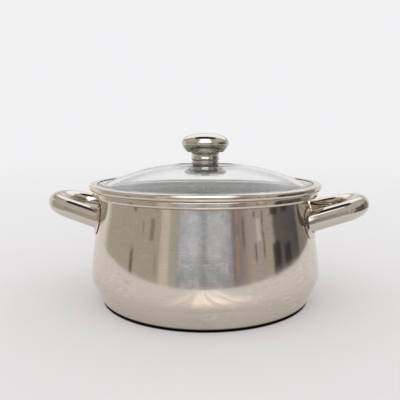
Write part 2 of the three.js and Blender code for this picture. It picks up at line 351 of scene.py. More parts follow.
class Graph:
    """Node tree of one material, emptied and ready for new nodes."""

    def __init__(self, owner: bpy.types.Material | bpy.types.World) -> None:
        """Clears the owner's tree."""
        owner.use_nodes = True
        self.tree = owner.node_tree
        self.tree.nodes.clear()

    def node(
        self,
        kind: str,
        settings: dict | None = None,
        inputs: dict | None = None,
        out: str | int = 0,
    ) -> Value | None:
        """Adds a node, sets its settings and then the values or links of its sockets.

        Args:
            kind: Node type.
            settings: Attributes of the node. "stops" gives a ramp's (position, colour) pairs.
            inputs: Values or links by socket name or index.
            out: Output that the result stands for.

        Returns:
            The chosen output, or None for a node without outputs.
        """
        node = self.tree.nodes.new(kind)
        for name, value in (settings or {}).items():
            if name == "stops":
                self.set_stops(node.color_ramp, value)
            else:
                setattr(node, name, value)
        for name, value in (inputs or {}).items():
            if isinstance(value, Value):
                self.tree.links.new(value.socket, node.inputs[name])
            else:
                node.inputs[name].default_value = value
        return Value(self, node.outputs[out]) if node.outputs else None

    @staticmethod
    def set_stops(ramp: bpy.types.ColorRamp, stops: list[tuple[float, Colour]]) -> None:
        """Puts (position, colour) stops on a colour ramp."""
        while len(ramp.elements) < len(stops):
            ramp.elements.new(1)
        for element, (position, colour) in zip(ramp.elements, stops):
            element.position = position
            element.color = (*colour, 1)

    def place(self, scale: Stretch = (1, 1, 1)) -> Value:
        """Object coordinates stretched by a scale for each axis."""
        place = self.node("ShaderNodeTexCoord", out="Object")
        return self.node("ShaderNodeMapping", {}, {"Vector": place, "Scale": scale})

    def noise(self, vector: Value, scale: float, detail: float = 3, roughness: float = 0.5) -> Value:
        """Noise from 0 to 1 on a vector."""
        inputs = {"Vector": vector, "Scale": scale, "Detail": detail, "Roughness": roughness}
        return self.node("ShaderNodeTexNoise", {}, inputs, "Fac")

    def axis(self, vector: Value, name: str) -> Value:
        """One component of a vector."""
        return self.node("ShaderNodeSeparateXYZ", {}, {"Vector": vector}, name)

    def from_axis(self) -> Value:
        """Distance from the pot's axis: the length of the place with its height taken out."""
        place = {0: self.place(), 1: (1, 1, 0)}
        flat = self.node("ShaderNodeVectorMath", {"operation": "MULTIPLY"}, place)
        return self.node("ShaderNodeVectorMath", {"operation": "LENGTH"}, {0: flat}, "Value")

    def mix(self, share: Value | float, low: Value | Colour, high: Value | Colour) -> Value:
        """Colour between two colours."""
        colours = {6: low, 7: high}
        inputs = {0: share, **{k: (*v, 1) if isinstance(v, tuple) else v for k, v in colours.items()}}
        return self.node("ShaderNodeMix", {"data_type": "RGBA"}, inputs, 2)

    def bump(self, height: Value, depth: float, under: Value | None = None) -> Value:
        """Bump normal of a height from 0 to 1 over a depth in metres."""
        inputs = {"Height": height, "Strength": 1.0, "Distance": depth}
        if under is not None:
            inputs["Normal"] = under
        return self.node("ShaderNodeBump", {}, inputs)

    def glow(self, colour: Value | Colour, strength: float = 1.0) -> Value:
        """Light of a colour."""
        held = (*colour, 1) if isinstance(colour, tuple) else colour
        return self.node("ShaderNodeEmission", {}, {"Color": held, "Strength": strength})

    def surface(self, shader: Value) -> None:
        """Links a shader to the output."""
        self.node("ShaderNodeOutputMaterial", {}, {"Surface": shader})


@dataclass(frozen=True)
class Pattern:
    """Noise over a piece: its stretch along X, Y and Z, its scale and detail, and the band it is cut to."""

    stretch: Stretch
    scale: float = 1.0
    detail: float = 2
    roughness: float = 0.6
    cut: tuple[float, float] | None = None

    def on(self, g: Graph) -> Value:
        """The pattern from 0 to 1 in a finish's graph."""
        noise = g.noise(g.place(self.stretch), self.scale, self.detail, self.roughness)
        return noise.band(*self.cut) if self.cut else noise


# ---------------------------------------------------------------- finishes

# Rings and scratches are long round the pot and fine along Z, and drips run down it.
FINE_RINGS = Pattern((14, 14, 1300))
BROAD_RINGS = Pattern((5, 5, 260), detail=3)
UPRIGHT_SCRATCHES = Pattern((900, 700, 40), 1.0, 1, 0.4, (0.66, 0.76))
ROUND_SCRATCHES = Pattern((60, 60, 1100), 1.0, 2, 0.5, (0.6, 0.72))
RUBBED = Pattern((1, 1, 1.6), 17, 3, 0.6, (0.45, 0.7))
SMUDGES = Pattern((1, 1, 1.4), 34, 5, 0.68, (0.46, 0.74))
DRIPS = Pattern((60, 60, 7), 1.0, 2, 0.5, (0.58, 0.75))
PALE_FLECKS = Pattern((130, 130, 480), cut=(0.52, 0.66))
DULL_FLECKS = Pattern((110, 110, 380), cut=(0.55, 0.7))
TOOL_WOBBLE = Pattern((1, 1, 1), 60, 3, 0.6)
GRIME = Pattern((1, 1, 1), 35, 4, 0.65, (0.45, 0.8))
GLASS_HAZE = Pattern((1, 1.6, 1), 30, 4, 0.6, (0.5, 0.85))
GLASS_WIPES = Pattern((14, 120, 60), 1.0, 2, 0.5, (0.6, 0.8))
GLASS_WAVES = Pattern((1, 1, 1), 22, 1, 0.4)
SILICONE_DUST = Pattern((1, 1, 1), 240, 4, 0.65, (0.5, 0.8))
SILICONE_GRAIN = Pattern((1, 1, 1), 2600, 2, 0.6)


def shaded(colour: Colour, share: float) -> Colour:
    """Colour with each channel multiplied by a share, held under almost white."""
    return tuple(min(channel * share, ALMOST_WHITE) for channel in colour)


@dataclass(frozen=True)
class PolishedSteel:
    """Stainless steel polished round the pot's axis, with scratches of use, smudges and a slight waviness."""

    name: str
    # Warm tint: the steel's grey with a painted warm reflection of the beige room in it.
    tint: Colour = (0.68, 0.605, 0.53)
    roughness: float = 0.07
    ring_lines: float = 0.35
    scratches: float = 0.5
    smudges: float = 0.7
    flecks: float = 0.0
    waviness: float = 0.07 * MM
    wave_scale: float = 14.0
    # Painted shade line in the crease under the flange: its height, width, colour and dulling.
    crease_height: float = 0.0
    crease_width: float = 0.9 * MM
    crease_shade_tint: Colour = (0.1, 0.09, 0.08)
    ring_depth: float = 0.008 * MM
    scratch_depth: float = 0.006 * MM
    ring_dulling: float = 0.07
    scratch_dulling: float = 0.12
    smudge_dulling: float = 0.06
    drip_dulling: float = 0.03
    crease_dulling: float = 0.2

    def material(self) -> bpy.types.Material:
        """Builds the finish, with a painted shade line round the pot at the crease height, darker and duller,
        if there is one.

        Returns:
            The material.
        """
        made = bpy.data.materials.new(self.name)
        g = Graph(made)
        rings = FINE_RINGS.on(g) * 0.6 + BROAD_RINGS.on(g) * 0.4
        rubbed = RUBBED.on(g)
        marks = UPRIGHT_SCRATCHES.on(g) * 0.4 + ROUND_SCRATCHES.on(g) * (rubbed * 0.8 + 0.2)
        smudge = SMUDGES.on(g)
        rough = self.roughness + rings * (self.ring_lines * self.ring_dulling)
        rough = rough + marks * (self.scratches * self.scratch_dulling)
        rough = rough + smudge * (self.smudges * self.smudge_dulling) + DRIPS.on(g) * self.drip_dulling
        colour = g.mix(smudge * self.smudges * 0.7 + marks * 0.3, self.tint, shaded(self.tint, 0.9))
        colour = g.mix(rings.band(0.35, 0.7) * 0.3, colour, shaded(self.tint, 1.06))
        if self.flecks:
            colour = self.flecked(g, colour, rubbed)
        if self.crease_height:
            # Painted shade: a dark, duller line round the pot where the flange's underside meets the neck.
            away = (g.axis(g.place(), "Z") - self.crease_height).math("ABSOLUTE")
            crease_shade = away.band(self.crease_width, 0.3 * self.crease_width)
            colour = g.mix(crease_shade * 0.8, colour, self.crease_shade_tint)
            rough = rough + crease_shade * self.crease_dulling
        wave = g.bump(Pattern((1, 1, 0.6), self.wave_scale, 1, 0.4).on(g), self.waviness)
        lines = g.bump(rings, self.ring_lines * self.ring_depth, wave)
        normal = g.bump(1 - marks, self.scratches * self.scratch_depth, lines)
        inputs = {"Base Color": colour, "Metallic": 1.0, "Roughness": rough, "Normal": normal}
        g.surface(g.node("ShaderNodeBsdfPrincipled", {}, inputs))
        return made

    def flecked(self, g: Graph, colour: Value, rubbed: Value) -> Value:
        """Colour with pale wiping flecks and dull water flecks, most where the steel is rubbed."""
        pale = PALE_FLECKS.on(g) * (rubbed * 0.8 + 0.2) * self.flecks
        dull = DULL_FLECKS.on(g) * (rubbed * 0.7 + 0.3) * self.flecks
        return g.mix(dull, g.mix(pale, colour, shaded(self.tint, 1.4)), shaded(self.tint, 0.6))


@dataclass(frozen=True)
class SatinSteel:
    """Turned or brushed steel and aluminium with visible tool rings and dull handling marks."""

    name: str
    tint: Colour = (0.56, 0.54, 0.5)
    roughness: float = 0.28
    ring_pitch: float = 1.2 * MM
    ring_depth: float = 0.01 * MM
    ring_dulling: float = 0.05
    grime_dulling: float = 0.14

    def material(self) -> bpy.types.Material:
        """Builds the finish, with rings at an even pitch from the axis.

        Returns:
            The material.
        """
        made = bpy.data.materials.new(self.name)
        g = Graph(made)
        wobble, grime = TOOL_WOBBLE.on(g), GRIME.on(g)
        rings = (g.from_axis() * (2 * math.pi / self.ring_pitch) + wobble * 3).math("SINE") * 0.5 + 0.5
        rough = self.roughness + rings * self.ring_dulling + grime * self.grime_dulling
        colour = g.mix(grime, self.tint, shaded(self.tint, 0.7))
        normal = g.bump(rings * 0.6 + wobble * 0.4, self.ring_depth)
        inputs = {"Base Color": colour, "Metallic": 1.0, "Roughness": rough, "Normal": normal}
        g.surface(g.node("ShaderNodeBsdfPrincipled", {}, inputs))
        return made


@dataclass(frozen=True)
class ClearGlass:
    """Clear tempered glass, faintly green, with wiping haze, polish waves and a painted dark shade line round
    its crest.
    """

    name: str
    tint: Colour = (0.93, 0.965, 0.95)
    refraction: float = 1.5
    polish: float = 0.004
    wave_depth: float = 0.05 * MM
    haze_dulling: float = 0.03
    wipe_dulling: float = 0.02
    # Painted shade line round the crest: its radius, width and colour.
    crest_shade_radius: float = 29.9 * MM
    crest_shade_width: float = 1.5 * MM
    crest_shade_tint: Colour = (0.03, 0.035, 0.035)

    def material(self) -> bpy.types.Material:
        """Builds the finish.

        Returns:
            The material.
        """
        made = bpy.data.materials.new(self.name)
        g = Graph(made)
        haze = GLASS_HAZE.on(g)
        clear = g.mix(haze * 0.4, self.tint, shaded(self.tint, 0.96))
        # Painted shade: a dark line round the crest, where the glass's edge looks dark through refraction.
        away = (g.from_axis() - self.crest_shade_radius).math("ABSOLUTE")
        crest_shade = away.band(self.crest_shade_width, 0.3 * self.crest_shade_width)
        inputs = {
            "Base Color": g.mix(crest_shade * 0.8, clear, self.crest_shade_tint),
            "Roughness": haze * self.haze_dulling + GLASS_WIPES.on(g) * self.wipe_dulling + self.polish,
            "IOR": self.refraction,
            "Transmission Weight": 1.0,
            "Normal": g.bump(GLASS_WAVES.on(g), self.wave_depth),
        }
        g.surface(g.node("ShaderNodeBsdfPrincipled", {}, inputs))
        return made


@dataclass(frozen=True)
class MouldedSilicone:
    """Grey silicone with a fine matt grain and dust."""

    name: str
    tint: Colour = (0.17, 0.172, 0.175)
    dust_tint: Colour = (0.22, 0.22, 0.21)
    roughness: float = 0.5
    dust_dulling: float = 0.25
    grain_depth: float = 0.02 * MM

    def material(self) -> bpy.types.Material:
        """Builds the finish.

        Returns:
            The material.
        """
        made = bpy.data.materials.new(self.name)
        g = Graph(made)
        dust = SILICONE_DUST.on(g)
        inputs = {
            "Base Color": g.mix(dust * 0.5, self.tint, self.dust_tint),
            "Roughness": self.roughness + dust * self.dust_dulling,
            "Normal": g.bump(SILICONE_GRAIN.on(g), self.grain_depth),
        }
        g.surface(g.node("ShaderNodeBsdfPrincipled", {}, inputs))
        return made


def dress(piece: bpy.types.Object, slot: Slot, *made: bpy.types.Material) -> None:
    """Puts one or more finishes on a piece.

    Args:
        piece: The piece, new or a CAD node.
        slot: The piece's material slot. Not used.
        made: Its materials, in the order of its faces' material indices.
    """
    if piece.data.materials:
        piece.data.materials.clear()
    for finish in made:
        piece.data.materials.append(finish)


def stand_in(piece: bpy.types.Object, body: Body, node: str) -> None:
    """Makes a new piece ride on its body in place of its CAD node, and logs it."""
    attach(piece, body.value)
    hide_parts(node)
    LOG.info("%s: %d faces on %s", piece.name, len(piece.data.polygons), body.value)


# ---------------------------------------------------------------- pot


@dataclass
class PotShell:
    """Pressed pot: a flat floor, a belly, a drawn-in neck and a rim folded over to a flange."""

    wall: float = 0.8 * MM
    foot_radius: float = 98 * MM
    heel_radius: float = 5 * MM
    heel_sweep: float = math.radians(58)
    flank: Point = (106.9 * MM, 18 * MM)
    belly_height: float = 30 * MM
    shoulder: Point = (104.6 * MM, 70 * MM)
    neck: Point = (101.0 * MM, 90 * MM)
    mouth_radius: float = 99.5 * MM
    flange_width: float = 7.3 * MM
    flange_height: float = 6.1 * MM
    flange_rounding: float = 2.2 * MM
    flange_lean: float = 0.15 * MM
    crease_drop: float = 0.7 * MM
    floor_rows: int = 24
    heel_rows: int = 12
    side_rows: int = 16
    underside: float = field(init=False)
    rim_height: float = field(init=False)
    belly_radius: float = field(init=False)

    def __post_init__(self) -> None:
        """Takes the heights and the belly from the CAD shell's box."""
        low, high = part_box("pot_shell")
        self.underside, self.rim_height, self.belly_radius = low.z, high.z, high.y

    def inner_side(self) -> np.ndarray:
        """Inner face from the centre of the floor to half way up the flange."""
        heel_centre = (self.foot_radius, self.underside + self.heel_radius)
        start = -math.pi / 2
        heel = arc(heel_centre, self.heel_radius - self.wall, start, start + self.heel_sweep, self.heel_rows)
        side_end = (self.mouth_radius, self.rim_height - self.flange_height / 2)
        outer = np.array([self.flank, (self.belly_radius, self.belly_height), self.shoulder, self.neck])
        stations = np.concatenate([heel[-1:], outer - [self.wall, 0], [side_end]])
        floor = np.linspace((0, self.underside + self.wall), heel[0], self.floor_rows)[:-1]
        return np.concatenate([floor, heel[:-1], spline(stations, self.side_rows)])

    def outer_side(self) -> np.ndarray:
        """Outer face of the wall as (radius, height) points with the height rising."""
        side = self.inner_side()
        step = np.gradient(side, axis=0)
        step /= np.linalg.norm(step, axis=1, keepdims=True)
        outer = side + np.stack([step[:, 1], -step[:, 0]], axis=1) * self.wall
        return outer[np.concatenate([[False], np.diff(outer[:, 1]) > 0])]

    def build(self) -> bpy.types.Object:
        """Turns the shell with its rim folded over to a rounded flange.

        The section ends with the inner side, so the last rows of quads and the last fan of triangles,
        at the floor's centre, are the inside. They take the second finish.

        Returns:
            The pot shell.
        """
        side = self.inner_side()
        outer, top = self.mouth_radius + self.flange_width, self.rim_height
        low = top - self.flange_height
        corners = [
            tuple(side[-1]),
            (self.mouth_radius, top),
            (outer - self.flange_lean, top),
            (outer, low),
            (self.neck[0] + 2 * self.wall, low),
        ]
        fold = rounded(corners, self.flange_rounding, 12)[1:]
        section = sheet_section(np.concatenate([side, fold]), self.wall)
        piece = turned("pot_shell_fine", section, AROUND)
        quad_rows = len(section) - 3
        inside = np.zeros(len(piece.data.polygons), np.int32)
        inside[(quad_rows - len(side) + 1) * AROUND : quad_rows * AROUND] = 1
        inside[-AROUND:] = 1
        piece.data.polygons.foreach_set("material_index", inside)
        stand_in(piece, Body.POT, "pot_shell")
        return piece

    def make(self) -> None:
        """Builds the shell, polished outside with a painted shade line in the crease under the flange, and
        satin inside.
        """
        crease = self.rim_height - self.flange_height - self.crease_drop
        outside = PolishedSteel("pot_polish", scratches=0.7, flecks=0.4, crease_height=crease)
        inside = PolishedSteel("pot_inside", (0.7, 0.675, 0.64), 0.2, ring_lines=1.2, scratches=0.8)
        dress(self.build(), Slot.SHELL, outside.material(), inside.material())


@dataclass
class SandwichBase:
    """Steel cap under the pot that closes the aluminium heat spreader in and ends on the belly."""

    pot: PotShell
    sheet: float = 0.5 * MM
    flat_radius: float = 96.4 * MM
    step_depth: float = 2.4 * MM
    step_height: float = 1.7 * MM
    step_rounding: float = 0.5 * MM
    side: tuple[Point, Point] = ((99.3 * MM, 2.8 * MM), (100.9 * MM, 5.0 * MM))
    lap_height: float = 8.5 * MM
    lap_sink: float = 0.1 * MM
    ring_groove_radius: float = 62 * MM
    ring_groove_width: float = 1.6 * MM
    ring_groove_depth: float = 0.25 * MM
    flat_rows: int = 110

    def build(self) -> bpy.types.Object:
        """Turns the cap, with a shallow coined ring under it and a step in round its foot.

        The ring's depth falls off as the exponential of minus the square of the distance from it.

        Returns:
            The base cap.
        """
        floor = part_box("base_cap")[0].z + self.sheet
        wall = self.pot.outer_side()
        lap = np.interp(self.lap_height, wall[:, 1], wall[:, 0]) - self.sheet - self.lap_sink
        side = spline(np.array([*self.side, (lap, self.lap_height)]), 8)
        shelf = floor + self.step_height
        corners = [(0, floor), (self.flat_radius, floor), (self.flat_radius, shelf)]
        corners += [(self.flat_radius + self.step_depth, shelf), tuple(side[0]), tuple(side[1])]
        foot = rounded(corners, self.step_rounding, 6)[:-1]
        flat = np.linspace(foot[0], foot[1], self.flat_rows)[:-1]
        ring = np.exp(-(((flat[:, 0] - self.ring_groove_radius) / self.ring_groove_width) ** 2))
        flat[:, 1] += self.ring_groove_depth * ring
        path = np.concatenate([flat, foot[1:], side[1:]])
        piece = turned("base_cap_fine", sheet_section(path, self.sheet), AROUND)
        stand_in(piece, Body.POT, "base_cap")
        return piece

    def make(self) -> None:
        """Builds the cap and gives it and the CAD's heat spreader their finishes."""
        dress(self.build(), Slot.BASE, PolishedSteel("base_polish", waviness=0.02 * MM).material())
        spreader = SatinSteel("spreader_aluminium", (0.7, 0.7, 0.71), 0.4).material()
        dress(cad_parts["heat_spreader"], Slot.SPREADER, spreader)


@dataclass
class Handle:
    """Tubular loop with splayed legs coped to the pot wall, and a pressed saddle at each leg."""

    side: Side
    pot: PotShell
    height: float = 79.3 * MM
    tilt: float = math.radians(14.4)
    leg_offset: float = 34 * MM
    bend_radius: float = 27 * MM
    tube_radius: float = 9.1 * MM
    tube_wall: float = 1 * MM
    weld_gap: float = 0.3 * MM
    saddle_sheet: float = 0.8 * MM
    saddle_half_width: float = 14 * MM
    saddle_half_height: float = 15 * MM
    saddle_draw: float = 1.4 * MM
    search_reach: float = 30 * MM
    halvings: int = 40
    tube_around: int = 64
    leg_rows: int = 24
    bend_rows: int = 40
    saddle_around: int = 96
    saddle_rows: int = 14
    saddle_edge_rows: int = 4

    def __post_init__(self) -> None:
        """Works out the loop's plan in its tilted plane from the reach of the CAD tube."""
        self.label = self.side.name.lower()
        self.wall_face = self.pot.outer_side()
        wall = self.wall_radius(np.array(self.height))
        self.root = math.sqrt(wall**2 - self.leg_offset**2)
        reach = (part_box("handle_tube_right")[1].x - self.tube_radius - self.root) / math.cos(self.tilt)
        self.bend_centre = reach - self.bend_radius
        to_centre = math.hypot(self.bend_centre, self.leg_offset)
        self.splay = math.atan2(self.leg_offset, self.bend_centre) - math.asin(self.bend_radius / to_centre)
        self.leg = math.sqrt(to_centre**2 - self.bend_radius**2)

    def wall_radius(self, height: np.ndarray) -> np.ndarray:
        """Outside radius of the pot wall at a height."""
        return np.interp(height, self.wall_face[:, 1], self.wall_face[:, 0])

    def in_plane(self, out: np.ndarray, sideways: np.ndarray, up: np.ndarray) -> np.ndarray:
        """Points at distances out from the root, to the side and square to the loop's plane."""
        cos, sin = math.cos(self.tilt), math.sin(self.tilt)
        x = self.root + out * cos - up * sin
        return np.stack(np.broadcast_arrays(x, sideways, self.height + out * sin + up * cos), axis=-1)

    def beside_leg(self, along: np.ndarray, across: np.ndarray, up: np.ndarray, leg_side: int) -> np.ndarray:
        """Points at distances along a leg, across it and up from it; leg_side is 1 or -1 along Y."""
        cos, sin = math.cos(self.splay), math.sin(self.splay)
        out = along * cos + across * sin
        sideways = self.leg_offset - along * sin + across * cos
        return self.in_plane(out, leg_side * sideways, up)

    def wall_distance(self, across: np.ndarray, up: np.ndarray) -> np.ndarray:
        """Distance along the leg at which lines beside it leave the pot wall, by halving an interval."""
        inside, outside = np.full_like(across, -self.search_reach), np.full_like(across, self.search_reach)
        for _ in range(self.halvings):
            middle = (inside + outside) / 2
            point = self.beside_leg(middle, across, up, 1)
            clear = np.hypot(point[..., 0], point[..., 1]) > self.wall_radius(point[..., 2])
            inside, outside = np.where(clear, inside, middle), np.where(clear, middle, outside)
        return outside

    def half_skin(self, radius: float) -> np.ndarray:
        """Rings of one half of the tube's skin, from the wall along the leg and round to the loop's end.

        On the leg a ring's points are shared out between the coped end and the bend. On the bend the
        ring's centre follows the circle and the ring stays square to it.

        Args:
            radius: Radius of the skin.

        Returns:
            Array of shape (rings, points in a ring, 3).
        """
        angle = 2 * math.pi * np.arange(self.tube_around) / self.tube_around
        across, up = radius * np.cos(angle), radius * np.sin(angle)
        start = self.wall_distance(across, up) + self.weld_gap
        share = np.linspace(0, 1, self.leg_rows + 1)[:-1, None]
        leg = self.beside_leg(start + (self.leg - start) * share, across, up, 1)
        turn = np.linspace(self.splay, math.pi / 2, self.bend_rows + 1)[:, None]
        out = self.bend_centre + (self.bend_radius + across) * np.sin(turn)
        bend = self.in_plane(out, (self.bend_radius + across) * np.cos(turn), up)
        return np.concatenate([leg, bend])

    def skin(self, radius: float) -> np.ndarray:
        """Rings of the whole skin from one wall end to the other: one half and its mirror image."""
        half = self.half_skin(radius)
        mirror = half[-2::-1] * [1, -1, 1]
        return np.concatenate([half, mirror])

    def placed(self, points: np.ndarray) -> np.ndarray:
        """Points turned half round the pot's axis for the left handle."""
        return points * [self.side.value, self.side.value, 1]

    def build_tube(self) -> bpy.types.Object:
        """Hollow tube: its outer skin, then its inner skin back again.

        Returns:
            The handle tube.
        """
        inner = self.skin(self.tube_radius - self.tube_wall)[::-1]
        rings = np.concatenate([self.skin(self.tube_radius), inner])
        piece = looped(f"handle_tube_{self.label}_fine", self.placed(rings))
        stand_in(piece, Body.POT, f"handle_tube_{self.label}")
        return piece

    def build_saddle(self, leg_side: int, end: str) -> bpy.types.Object:
        """Pressed sheet from an oval flange on the wall up to a short collar round the tube.

        Across the sheet the oval's half axes shrink to the collar's circle, and the lift off the wall
        rises with the square of that share.

        Args:
            leg_side: 1 or -1, the side of Y that the leg is on before the handle is placed.
            end: "front" or "back".

        Returns:
            The saddle.
        """
        angle = 2 * math.pi * np.arange(self.saddle_around) / self.saddle_around
        collar = self.tube_radius + self.weld_gap + self.saddle_sheet
        share = np.linspace(0, 1, self.saddle_rows)
        lift = self.weld_gap + self.saddle_draw * share**2
        edge = np.linspace(0, math.pi, self.saddle_edge_rows + 2)[1:-1]
        half = self.saddle_sheet / 2
        outer = [share, lift + self.saddle_sheet, np.zeros_like(share)]
        lip = [np.ones_like(edge), lift[-1] + half + half * np.cos(edge), half - half * np.cos(edge)]
        inner = [share[::-1], lift[::-1], np.full_like(share, self.saddle_sheet)]
        rim = [np.zeros_like(edge), lift[0] + half - half * np.cos(edge), half + half * np.cos(edge)]
        across_sheet = [np.concatenate(parts)[:, None] for parts in zip(outer, lip, inner, rim)]
        share_of, lift_of, inset = across_sheet
        half_width = self.saddle_half_width + (collar - self.saddle_half_width) * share_of - inset
        half_height = self.saddle_half_height + (collar - self.saddle_half_height) * share_of - inset
        across, up = half_width * np.cos(angle), half_height * np.sin(angle)
        rings = self.beside_leg(self.wall_distance(across, up) + lift_of, across, up, leg_side)
        piece = looped(f"saddle_{self.label}_{end}_fine", self.placed(rings))
        stand_in(piece, Body.POT, f"saddle_{self.label}_{end}")
        return piece

    def build(self) -> tuple[bpy.types.Object, list[bpy.types.Object]]:
        """Builds the tube and its two saddles.

        Returns:
            The tube, and the saddles.
        """
        front = -self.side.value
        saddles = [self.build_saddle(front, "front"), self.build_saddle(-front, "back")]
        return self.build_tube(), saddles

    def make(self, tube_finish: bpy.types.Material, saddle_finish: bpy.types.Material) -> None:
        """Builds the handle and dresses its pieces in the finishes that both handles share.

        Args:
            tube_finish: Finish of the tube.
            saddle_finish: Finish of the saddles.
        """
        tube, saddles = self.build()
        dress(tube, Slot.HANDLE, tube_finish)
        for saddle in saddles:
            dress(saddle, Slot.SADDLE, saddle_finish)


@dataclass
class Pot:
    """The pot: its shell, its sandwich base and its two handles."""

    shell: PotShell = field(default_factory=PotShell)

    def make(self) -> None:
        """Builds and dresses the pot's sub-assemblies."""
        self.shell.make()
        SandwichBase(self.shell).make()
        # Warm tint: the steel's grey with a painted warm reflection of the beige room in it.
        tint = (0.65, 0.59, 0.52)
        tube = PolishedSteel("handle_polish", tint, ring_lines=0.15, scratches=0.7, waviness=0.05 * MM)
        saddle = PolishedSteel("saddle_polish", ring_lines=0.1, waviness=0.08 * MM, wave_scale=60)
        tube_finish, saddle_finish = tube.material(), saddle.material()
        for side in Side:
            Handle(side, self.shell).make(tube_finish, saddle_finish)


# ---------------------------------------------------------------- lid


@dataclass
class Lid:
    """Glass dome with a sunk seat for the knob, in a folded steel band, with its silicone rings."""

    glass: float = 3.6 * MM
    dome_rise: float = 18.35 * MM
    dome_foot: float = 94.5 * MM
    dome_power: float = 2.6
    crest_radius: float = 30 * MM
    seat_radius: float = 26 * MM
    seat_depth: float = 0.95 * MM
    hole_radius: float = 4.6 * MM
    band_sheet: float = 0.6 * MM
    band_bend: float = 1.3 * MM
    band_lip: float = 7 * MM
    band_gap: float = 0.1 * MM
    skirt_radius: float = 97.1 * MM
    seat_rounding: float = 0.7 * MM
    brim_rounding: float = 5 * MM
    ring_rounding: float = 0.25 * MM
    dome_rows: int = 60
    straight_rows: int = 5
    bend_rows: int = 10

    def __post_init__(self) -> None:
        """Takes the brim and the band from the CAD boxes."""
        low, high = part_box("lid_band")
        self.band_radius, self.skirt_bottom, self.lip_height = high.x, low.z, high.z - self.band_sheet
        self.brim = self.lip_height - self.band_gap
        self.leg_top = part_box("lid_glass")[0].z - self.band_gap

    def dome(self, radius: np.ndarray) -> np.ndarray:
        """Height of the dome: the rise less its share by a power of the distance from the axis."""
        return self.brim + self.dome_rise * (1 - (radius / self.dome_foot) ** self.dome_power)

    def build_glass(self) -> bpy.types.Object:
        """Turns the pressed glass.

        Returns:
            The glass.
        """
        radius = np.linspace(self.crest_radius, self.dome_foot, self.dome_rows)
        dome = np.stack([radius, self.dome(radius)], axis=1)
        seat = dome[0, 1] - self.seat_depth
        edge = self.band_radius - self.band_sheet - self.band_bend
        corners = [(self.hole_radius, seat), (self.seat_radius, seat), tuple(dome[0]), tuple(dome[1])]
        centre = rounded(corners, self.seat_rounding, 6)
        brim = rounded([tuple(dome[-3]), tuple(dome[-1]), (edge, self.brim)], self.brim_rounding, 10)
        section = sheet_section(np.concatenate([centre, dome[2:-3], brim]), self.glass)
        piece = turned("lid_glass_fine", section, AROUND)
        stand_in(piece, Body.LID, "lid_glass")
        return piece

    def build_band(self) -> bpy.types.Object:
        """Turns the band: a skirt in the mouth, a ledge on the rim and a lip folded over the brim.

        Returns:
            The band.
        """
        corner = self.band_radius - self.band_sheet - self.band_bend
        bend, quarter, rows = self.band_bend, math.pi / 2, self.bend_rows
        skirt = [(self.skirt_radius, height) for height in (self.skirt_bottom, self.leg_top - bend)]
        lip = [(radius, self.lip_height) for radius in (corner, self.band_radius - self.band_lip)]
        path = np.concatenate([
            np.linspace(*skirt, self.straight_rows)[:-1],
            arc((self.skirt_radius + bend, self.leg_top - bend), bend, math.pi, quarter, rows),
            arc((corner, self.leg_top + bend), bend, -quarter, 0, rows),
            arc((corner, self.lip_height - bend), bend, 0, quarter, rows),
            np.linspace(*lip, self.straight_rows)[1:],
        ])
        piece = turned("lid_band_fine", sheet_section(path, self.band_sheet), AROUND)
        stand_in(piece, Body.LID, "lid_band")
        return piece

    def build(self) -> dict[str, bpy.types.Object]:
        """Builds the glass, the band and the silicone rings.

        Returns:
            Pieces by their part's name.
        """
        names = ("upper_gasket", "lower_gasket", "hole_sleeve")
        rings = {name: ring_piece(name, Body.LID, self.ring_rounding) for name in names}
        return {"glass": self.build_glass(), "band": self.build_band(), **rings}

    def make(self) -> None:
        """Builds the lid and gives its pieces their finishes."""
        pieces = self.build()
        dress(pieces.pop("glass"), Slot.GLASS, ClearGlass("lid_glass_clear").material())
        polish = PolishedSteel("band_polish", ring_lines=0.5, waviness=0.03 * MM).material()
        dress(pieces.pop("band"), Slot.BAND, polish)
        silicone = MouldedSilicone("silicone_grey").material()
        for ring in pieces.values():
            dress(ring, Slot.SILICONE, silicone)


def inner_radius(node: str) -> float:
    """Radius of a CAD ring's hole: the least distance of its vertices from the axis."""
    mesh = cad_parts[node].data
    places = np.empty(len(mesh.vertices) * 3, np.float32)
    mesh.vertices.foreach_get("co", places)
    return float(np.hypot(*places.reshape(-1, 3)[:, :2].T).min())


def ring_piece(node: str, body: Body, edge: float) -> bpy.types.Object:
    """Fine copy of a CAD washer or ring, with its four edges rounded.

    Args:
        node: The CAD ring.
        body: Body that it rides on.
        edge: Size of the rounding.

    Returns:
        The ring.
    """
    low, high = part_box(node)
    hole, middle = inner_radius(node), (low.z + high.z) / 2
    corners = [
        (hole, middle),
        (hole, low.z),
        (high.x, low.z),
        (high.x, high.z),
        (hole, high.z),
        (hole, middle),
    ]
    piece = turned(f"{node}_fine", rounded(corners, edge, 4)[:-1], KNOB_AROUND)
    stand_in(piece, body, node)
    return piece


# ---------------------------------------------------------------- knob


